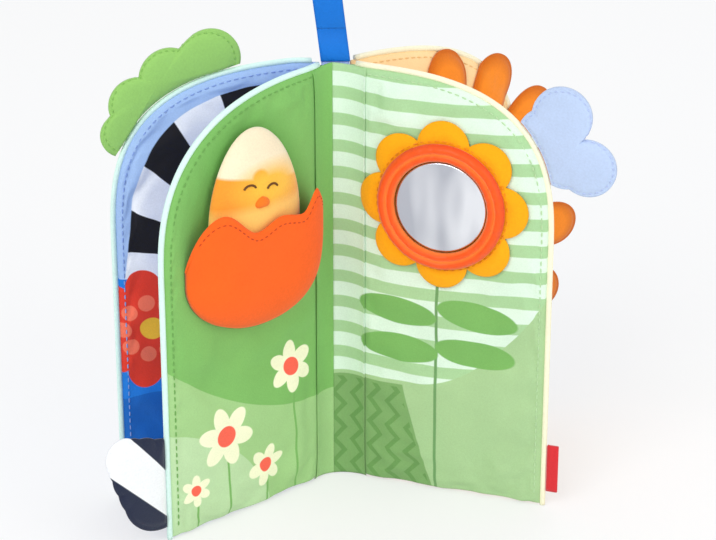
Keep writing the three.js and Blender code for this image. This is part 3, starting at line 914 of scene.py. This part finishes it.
# The sunflower, as in the part: its petals, the ring on them and what the mirror rests on.
FLOWER_SEAT = 0.75
FLOWER_PETALS = 8
FLOWER_TIP = 42.5
PETAL_SHARE = 0.306
FELT_TOP = 2.2
RING_INNER = 23.0
RING_OUTER = 32.0
RING_HEIGHT = 4.4
# The ring's section: how far out each point is, and how high, as shares.
RING_SECTION = (
    (0, 0), (0.01, 0.36), (0.08, 0.68), (0.2, 0.93), (0.33, 0.93), (0.42, 0.74), (0.46, 0.6), (0.5, 0.74),
    (0.6, 0.98), (0.76, 0.98), (0.9, 0.7), (1, 0.3), (1, 0),
)


def add_flower():
    """The sunflower: a padded felt bloom, a stuffed satin ring with two ridges, and the soft mirror."""
    leaf = FRONT_RIGHT
    rim_pad, full_pad, puff_height, puff_share, puff_width, crease_least = 0.9, 1.3, 1.1, 0.86, 0.09, 0.45
    angle = around(240)
    pitch = FULL_TURN / FLOWER_PETALS
    turn = angle - pitch * np.round(angle / pitch)
    petal_radius = FLOWER_TIP * PETAL_SHARE
    petal_center = FLOWER_TIP - petal_radius
    radius = petal_center * np.cos(turn) + np.sqrt(petal_radius ** 2 - (petal_center * np.sin(turn)) ** 2)
    outline = radius[:, None] * ways(angle)
    crease = crease_least + (1 - crease_least) * np.abs(np.cos(FLOWER_PETALS / 2 * angle)) ** 0.6

    def under(u, v, share):
        return leaf.face(u, v) + FLOWER_SEAT

    def over(u, v, share):
        puff = puff_height * math.exp(-((share - puff_share) / puff_width) ** 2)
        pad = rim_pad + full_pad * domed(share)
        return under(u, v, share) + pad + puff * (crease if np.ndim(u) else 1.0)

    shares = np.array([0.25, 0.5, 0.68, 0.74, 0.78, 0.82, 0.86, 0.9, 0.94, 0.975, 1.0])
    felt = fabric("marigold_felt", MARIGOLD, roughness=0.9, sheen=0.08, grain=900.0)
    bloom = padded_object("sunflower", leaf, FLOWER, outline, shares, under, over, felt)
    dress(bloom, leaf.body, ["sunflower_petals"])
    add_mirror(leaf, float(leaf.face(*FLOWER)) + FLOWER_SEAT + FELT_TOP + SEAT)

    u, v = (FLOWER + (RING_OUTER + 0.9) * ways(np.linspace(0, FULL_TURN, 300))).T
    points, normal = leaf.raised(u, v, leaf.face(u, v) + FLOWER_SEAT + FELT_TOP)
    thread = fabric("amber_thread", "#f0930c")
    dress(stitch_row("sunflower_stitches_outer", points, normal, thread), leaf.body)


def add_mirror(leaf, base):
    """The satin ring, gathered a little unevenly all round, and the mirror inside it."""
    steps, gather_depth, most_rise, disc_thick, disc_bulge = 160, 0.12, 1.05, 1.4, 0.5
    random = np.random.default_rng(5)
    gather = np.convolve(random.normal(size=steps + 6), np.ones(3) / 3, mode="same")[:steps] * gather_depth
    across, rise = np.array(RING_SECTION).T
    r = RING_INNER + (RING_OUTER - RING_INNER) * across
    loops = []
    for turn, more in zip(around(steps), gather):
        up = np.minimum(RING_HEIGHT * rise * (1 + more), RING_HEIGHT * most_rise)
        loops.append(leaf.place(FLOWER[0] + r * math.cos(turn), FLOWER[1] + r * math.sin(turn), base + up))
    prints = [(share / UV_SCALE, 0) for share in across] * steps
    satin = fabric("orange_satin", SATIN, paint_ring, roughness=0.42, sheen=0.2, grain=700.0, depth=0.15)
    faces = loop_faces(steps, len(across), closed=True)
    ring = mesh_object("mirror_frame", np.concatenate(loops), faces, [satin], prints)
    smooth_more(ring)
    dress(ring, leaf.body, ["mirror_ring"])

    circle = ways(around(96)) * (RING_INNER - SEAT)
    skins = [
        level_skin(lambda share: base),
        level_skin(lambda share: base + disc_thick + disc_bulge * math.cos(share * math.pi / 2)),
    ]
    shares = np.array([0.3, 0.6, 0.85, 0.95, 1.0])
    disc = padded_object("soft_mirror", leaf, FLOWER, circle, shares, *skins, mirror_film())
    dress(disc, leaf.body, ["mirror_disc"])


POCKET_MOUTH = ((12, 147), (22.5, 165), (34, 156), (47, 158.5), (62, 154), (80, 166), (94, 138))
POCKET = {
    "inner": 12.0, "outer": 94.0, "base_u": 53.0, "base_v": 130.0, "drop": 29.0, "depth": 14.6, "thick": 1.8,
}


def mouth_height(u):
    """The height of the pocket's wavy mouth, whose outer lobe ends in a quarter round."""
    height = np.full(u.shape, float(POCKET_MOUTH[0][1]))
    last = len(POCKET_MOUTH) - 2
    for k, ((u0, v0), (u1, v1)) in enumerate(zip(POCKET_MOUTH, POCKET_MOUTH[1:])):
        share = np.clip((u - u0) / (u1 - u0), 0, 1)
        if k == 0:
            risen = 1 - (1 - share) ** 1.6
        elif k == last:
            risen = 1 - np.sqrt(1 - share * share)
        else:
            risen = eased(share)
        height = np.where(u > u0, v0 + (v1 - v0) * risen, height)
    return height


def pocket_bottom(u):
    share = np.clip((u - POCKET["base_u"]) / ((POCKET["outer"] - POCKET["inner"]) / 2), -1, 1)
    return POCKET["base_v"] - POCKET["drop"] * np.sqrt(1 - share ** 2)


def pocket_inside(u, v, side_ease=30, foot_ease=25):
    sides = rolled(u - POCKET["inner"], side_ease) * rolled(POCKET["outer"] - u, side_ease)
    lift = POCKET["depth"] * sides * rolled(v - pocket_bottom(u), foot_ease)
    return FRONT_LEFT.face(u, v) + 0.4 + lift


def add_pocket():
    """The petal-shaped pocket, a curved padded panel that is open along its top."""
    leaf = FRONT_LEFT
    columns, rows, seam_share, crease_depth, crease_width = 56, 30, 0.93, 0.5, 0.02
    lip_start, lip_size, lip_gap = 0.985, 0.25, 0.3
    across = (1 - np.cos(np.linspace(0, 1, columns + 1) * math.pi)) / 2
    us = POCKET["inner"] + (POCKET["outer"] - POCKET["inner"]) * across
    u = np.repeat(us[:, None], rows + 1, axis=1)
    bottom = pocket_bottom(u)
    share = np.linspace(0, 1, rows + 1)[None, :] ** 1.2
    v = bottom + (mouth_height(u) - bottom) * share
    inside = pocket_inside(u, v)
    crease = crease_depth * np.exp(-((share - seam_share) / crease_width) ** 2)
    lip = np.where(share > lip_start, lip_size, 1.0)
    heights = (inside + lip_gap * (1 - lip), inside + POCKET["thick"] * lip - crease)
    skins = [leaf.place(u, v, height).reshape(-1, 3) for height in heights]
    felt = fabric("orange_felt", POCKET_ORANGE, sheen=0.1, grain=900.0)
    obj = sheet_object("tulip_pocket", skins, columns, rows, [felt])
    dress(obj, leaf.body, ["petal_pocket"])

    thread = fabric("rust_thread", "#c63f08")
    line_u = np.linspace(POCKET["inner"] + 2, POCKET["outer"] - 2, 260)
    line_bottom = pocket_bottom(line_u)
    line_v = line_bottom + (mouth_height(line_u) - line_bottom) * seam_share
    points, normal = leaf.raised(line_u, line_v, pocket_inside(line_u, line_v) + POCKET["thick"] - 0.45)
    row = stitch_row("pocket_mouth_stitches", points, normal, thread, length=2.0, gap=1.0)
    dress(row, leaf.body)


CHICK_SEAM = FRONT_LEFT.offset + CROWN + 0.4 + 3.5
CHICK_FULL = 9


def chick_front(u, v):
    """The height of the chick's front at a place on the page."""
    rise = (v - CHICK["v"]) / CHICK["half_height"]
    half = CHICK["half_width"] * (1 - CHICK["taper"] * rise)
    share = np.clip(((u - CHICK["u"]) / half) ** 2 + rise ** 2, 0, 1)
    return CHICK_SEAM + CHICK_FULL * np.sqrt(1 - share)


def add_chick():
    """The pull-out chick: a stuffed egg shape with a small sleeping face."""
    leaf = FRONT_LEFT
    angle = around(96)
    taper = 1 - CHICK["taper"] * np.sin(angle)
    outline = joined(CHICK["half_width"] * np.cos(angle) * taper, CHICK["half_height"] * np.sin(angle))
    shares = np.sin(np.linspace(0.08, 1, 12) * math.pi / 2)
    plush = fabric("cream_plush", EGG_CREAM, paint_egg, roughness=0.95, sheen=0.5, grain=1100.0, depth=0.6)
    body = padded_object(
        "sleepy_chick", leaf, (CHICK["u"], CHICK["v"]), outline, shares,
        level_skin(lambda share: CHICK_SEAM - 3.5 * domed(share) - 0.3),
        level_skin(lambda share: CHICK_SEAM + CHICK_FULL * domed(share)), plush,
    )
    dress(body, "chick", ["chick_toy"])

    brown = fabric("face_thread", FACE_BROWN, roughness=0.7, sheen=0.0)
    eye_v, eye_slope, eye_half, eye_rise, lid_radius = 173.0, 0.16, 3.4, 2.6, 0.55
    beak_u, beak_v, beak_half, beak_rise, beak_droop = 57.0, 167.3, 4.2, 2.7, 0.8
    for center_u, word in ((63.5, "left"), (50.5, "right")):
        turn = np.linspace(0.12, 0.88, 18) * math.pi
        u = center_u + eye_half * np.cos(turn)
        v = eye_v + eye_slope * (center_u - beak_u) + eye_rise * np.sin(turn)
        points, normal = leaf.raised(u, v, chick_front(u, v) + 0.1)
        side = np.cross(np.gradient(points, axis=0), normal)
        side /= np.linalg.norm(side, axis=1)[:, None]
        lid = tube_object(f"chick_eye_{word}", points, normal, side * MM, brown, lid_radius, sides=8)
        dress(lid, "chick")
    beak = fabric("beak_felt", BEAK, roughness=0.8)
    turn = around(40)
    rise = beak_rise * np.sin(turn) - beak_droop * np.abs(np.cos(turn))
    mouth = padded_object(
        "chick_beak", leaf, (beak_u, beak_v), joined(beak_half * np.cos(turn), rise), (0.3, 0.6, 0.85, 1.0),
        lambda u, v, share: chick_front(u, v) - 0.3,
        lambda u, v, share: chick_front(u, v) + 0.15 + 1.5 * domed(share), beak,
    )
    dress(mouth, "chick")


SUN_PETALS = 8
SUN_REACH = (65, 77)


def add_petals():
    """The rear right page's ring of petals, sewn on separately round the edge."""
    leaf = REAR_RIGHT
    first, pitch, half_length, half_width, widening = -54, 24, 22, 11.5, 0.3
    gap, rim, full = 0.4, 0.9, 2.9
    amber = fabric("amber_felt", AMBER, paint_petal_edge_shade, roughness=0.88, sheen=0.3, grain=900.0)

    def under(u, v, share):
        return leaf.middle(u) + np.maximum(leaf.swell(u, v), PIPING_RADIUS) + gap

    def over(u, v, share):
        return under(u, v, share) + flanged(share, rim, full)

    turn = around(64)
    along = half_length * np.cos(turn)
    across = half_width * np.sin(turn) * (1 + widening * np.cos(turn))
    for k in range(SUN_PETALS):
        angle = math.radians(first + pitch * k)
        cos, sin = math.cos(angle), math.sin(angle)
        center = (SUN[0] + SUN_REACH[0] * cos, SUN[1] + SUN_REACH[1] * sin)
        outline = joined(along * cos - across * sin, along * sin + across * cos)
        name = f"sun_petal_pad_{k + 1}"
        petal = padded_object(name, leaf, center, outline, PAD_SHARES, under, over, amber, radial_print=True)
        dress(petal, leaf.body, [f"sun_petal_{k + 1}"])


def add_strap():
    """The hanging loop: a woven ribbon folded in two, standing on the binding."""
    width, thick, loop_height, half_width, stitched, lean, first = 14.0, 1.3, 54.0, 8.5, 9.0, 7.0, 0.13
    pivot = 218.3 + thick
    turn = FULL_TURN * (first + (1 - 2 * first) * np.linspace(0, 1, 90))
    y = half_width * np.sin(turn) * np.sin(turn / 2)
    z = stitched + (loop_height - stitched) * (1 - np.cos(turn)) / 2
    dy, dz = np.gradient(y), np.gradient(z)
    way = joined(dz, -dy) / np.hypot(dy, dz)[:, None] * thick / 2
    outer, inner = joined(y, z) + way, joined(y, z) - way
    ribbon = fabric("blue_webbing", STRAP_BLUE, roughness=0.6, sheen=0.05, grain=1000.0, depth=0.6)

    def band(name, profile):
        y, z = profile.T
        lean_x = math.tan(math.radians(lean)) * np.maximum(z, 0)
        xs = np.linspace(-width / 2, width / 2, 9)
        sides = (np.broadcast_arrays(x - lean_x, y, pivot + z) for x in xs)
        return swept_object(name, [joined(*side) * MM for side in sides], ribbon)

    loop = band("strap_loop", np.concatenate([outer, inner[::-1]]))
    dress(loop, "strap", ["hanging_strap"])
    foot = np.linspace(math.pi, 0, 9)
    arc = thick * ways(-foot)
    root = band("strap_root", np.concatenate([arc, outer[:1], outer[-1:]]))
    dress(root, "strap")


def add_spine():
    """The bound back: a cloth core with a cord down each side."""
    half, front, back, radius, web, height, cord_steps = 2.2, 2.4, 6.0, 1.8, 0.9, 218.0, 16
    web_angle = math.asin(web / radius)
    outline = [(half, -front)]
    for side, depth in ((1, back), (-1, -front)):
        outline.append((side * half, -side * web))
        for k in range(cord_steps + 1):
            angle = (math.pi - web_angle) * (2 * k / cord_steps - 1)
            x = HINGE_OFFSET + radius * math.cos(angle)
            outline.append((side * x, side * radius * math.sin(angle)))
        outline += [(side * half, side * web), (side * half, depth), (-side * half, depth)]
    loops = [np.array([(x, y, z) for x, y in outline]) * MM for z in np.linspace(0, height, 40)]
    obj = swept_object("bound_spine", loops, fabric("periwinkle_binding", PERIWINKLE))
    dress(obj, "spine", ["spine_binding"])


def add_side_tag():
    """The small folded ribbon in the outer seam, left bare."""
    leaf = FRONT_RIGHT
    half, length, sewn, foot, head = 0.8, 6, 2, 8, 33
    root = REACH + SEAT
    fold = REACH + length - half
    round_fold = (fold, 0) + half * ways(np.linspace(-math.pi / 2, math.pi / 2, 9))
    sides = [(root, -half), (root + sewn, -half)], [(root + sewn, half), (root, half)]
    u, w = np.concatenate([sides[0], round_fold, sides[1]]).T
    loops = [leaf.place(u, v, leaf.offset + w) for v in np.linspace(foot, head, 14)]
    ribbon = fabric("red_ribbon", TAG_RED, roughness=0.6, sheen=0.2, grain=1300.0)
    dress(swept_object("folded_tag", loops, ribbon), leaf.body, ["side_tag"])


# The book: under each piece that is sewn on, the cloth of the page puckers less.

def plain(u, v):
    return np.ones_like(u)


def round_flower(u, v, covered=40, ease=8, least=0.12):
    return np.clip((np.hypot(u - FLOWER[0], v - FLOWER[1]) - covered) / ease, least, 1)


def round_pocket(u, v, middle_v=150, half_u=45, half_v=53, least=0.2):
    inside = (np.abs(u - POCKET["base_u"]) < half_u) & (np.abs(v - middle_v) < half_v)
    return np.where(inside, least, 1.0)


def round_petals(u, v, half_width=0.3, slope=4, least=0.2):
    ring = np.hypot((u - SUN[0]) / SUN_REACH[0], (v - SUN[1]) / SUN_REACH[1])
    return np.clip((np.abs(ring - 1) - half_width) * slope, least, 1)


def build_book():
    pale_dots = paint_dots("#c9d7f6", 22.0, 4.0)
    pages = (
        (FRONT_LEFT, "grass_green_cloth", round_pocket, "#6ea653",
         (GRASS, paint_meadow), (SKY, paint_dots("#4c9be6", 21.0, 3.6))),
        (FRONT_RIGHT, "pale_green_cloth", round_flower, "#b9d9a8",
         (STRIPE_PALE, paint_garden), (PEACH, paint_dots("#f4b768", 24.0, 4.2))),
        (REAR_LEFT, "sky_blue_cloth", plain, "#8ba6df",
         (SKY, paint_night_garden), (PERIWINKLE, pale_dots)),
        (REAR_RIGHT, "peach_cloth", round_petals, "#eec384",
         (PEACH, paint_sunny_page), (PERIWINKLE, pale_dots)),
    )
    mint = fabric("mint_tape", MINT, roughness=0.75, grain=1000.0)
    cream = fabric("cream_tape", CREAM, roughness=0.75, grain=1000.0)
    for leaf, slot, busy, seam, front, back in pages:
        front_cloth = fabric(leaf.name + "_print", *front)
        back_cloth = fabric(leaf.name + "_lining", *back)
        page_cover(leaf, [front_cloth, back_cloth], busy)
        tape, tape_slot = (mint, "mint_bias_tape") if leaf.facing > 0 else (cream, "cream_bias_tape")
        page_piping(leaf, tape)
        if leaf.stack > 0:
            gutter_cloth(leaf, front_cloth)
        page_stitches(leaf, fabric(leaf.name + "_thread", seam, roughness=0.8))
    for add in (add_spine, add_strap, add_flower, add_pocket, add_chick, add_petals, add_side_tag):
        add()
    edge_flap(
        FRONT_RIGHT, "soft_cloud", "cloud_flap", (114, 189),
        [(108, 204, 14.5), (121, 180, 14), (110, 182, 13.5), (100, 194, 13)],
        (0.8, 2.9), jersey("lavender_jersey", CLOUD),
        stitches=fabric("grey_thread", "#b3c2e6"),
    )
    edge_flap(
        REAR_LEFT, "soft_bush", "bush_flap", (81, 214),
        [(55, 223, 15), (75, 216, 14.5), (91, 204, 13.5), (98, 190, 11)],
        (0.8, 2.9), jersey("leaf_jersey", BUSH),
        stitches=fabric("lime_thread", "#86ba5b"),
    )
    edge_flap(
        FRONT_LEFT, "soft_tab", "striped_tab", (116, 37),
        [(131, 53, 9.5), (127, 49, 12), (121, 43, 16), (114, 36, 20), (108, 30, 23)],
        (0.4, 2.3), jersey("banded_jersey", NAVY, paint_tab), body="tab",
    )


# The studio

def show_backdrop(tree, lit, shown, strength, output):
    """Shows the second shader to the rays that see the backdrop: from the camera, or by metal and glass."""
    path = add_node(tree, "LightPath", {})
    names = ("Is Camera Ray", "Is Glossy Ray", "Is Transmission Ray")
    camera, glossy, through = (Ink(tree, path.outputs[name]) for name in names)
    share = camera.most(glossy).most(through) * strength
    blend = add_node(tree, "MixShader", {0: share.socket, 1: lit.outputs[0], 2: shown.outputs[0]})
    set_inputs(tree, tree.nodes[output], {"Surface": blend.outputs[0]})


def add_studio():
    """A pale floor, a pale background and three soft lamps."""
    reach, drop, white = 6.0, -0.0005, (1, 1, 1, 1)
    floor_mesh = bpy.data.meshes.new("floor")
    corners = [(x * reach, y * reach, drop) for x, y in ((-1, -1), (1, -1), (1, 1), (-1, 1))]
    floor_mesh.from_pydata(corners, [], [(0, 1, 2, 3)])
    floor = bpy.data.objects.new("floor", floor_mesh)
    bpy.context.scene.collection.objects.link(floor)
    paper, tree, shader = new_material("paper")
    set_inputs(tree, shader, {"Base Color": (0.93, 0.93, 0.93, 1), "Roughness": 0.95})
    show_backdrop(tree, shader, add_node(tree, "Emission", {"Color": white}), 0.55, "Material Output")
    floor_mesh.materials.append(paper)

    world = bpy.data.worlds.new("studio")
    world.use_nodes = True
    bpy.context.scene.world = world
    tree = world.node_tree
    light = tree.nodes["Background"]
    set_inputs(tree, light, {"Color": (0.95, 0.97, 1.0, 1), "Strength": 0.62})
    bright = add_node(tree, "Background", {"Color": white, "Strength": 1.0})
    show_backdrop(tree, light, bright, 1.0, "World Output")

    aim = Vector((0, 0, 0.11))
    lamps = (
        ("key", (-0.7, -1.3, 1.3), 15.0, 1.1),
        ("fill", (1.1, -1.0, 0.8), 7.0, 1.2),
        ("back", (0.2, 1.2, 1.4), 6.0, 1.2),
    )
    for name, position, power, size in lamps:
        data = bpy.data.lights.new(name, "AREA")
        data.energy = power
        data.size = size
        stand(name, data, Vector(position), aim)


def stand(name, data, position, target):
    """Sets up a lamp or a camera that looks at the target."""
    obj = bpy.data.objects.new(name, data)
    obj.location = position
    obj.rotation_euler = (target - position).to_track_quat("-Z", "Y").to_euler()
    bpy.context.scene.collection.objects.link(obj)
    return obj


def add_camera():
    """The photograph's view, worked out from the page's corners and the flower's circles."""
    focal_pixels, frame_width, sensor = 2425.8, 716, 36.0
    position = Vector((-24.3, -1105.0, 575.1)) * MM
    target = Vector((10.87, 2.5, 109.18)) * MM
    data = bpy.data.cameras.new("camera")
    data.sensor_width = sensor
    data.sensor_fit = "HORIZONTAL"
    data.lens = focal_pixels * sensor / frame_width
    bpy.context.scene.camera = stand("camera", data, position, target)


build_book()
add_studio()
add_camera()
bpy.context.scene.view_settings.view_transform = "Standard"
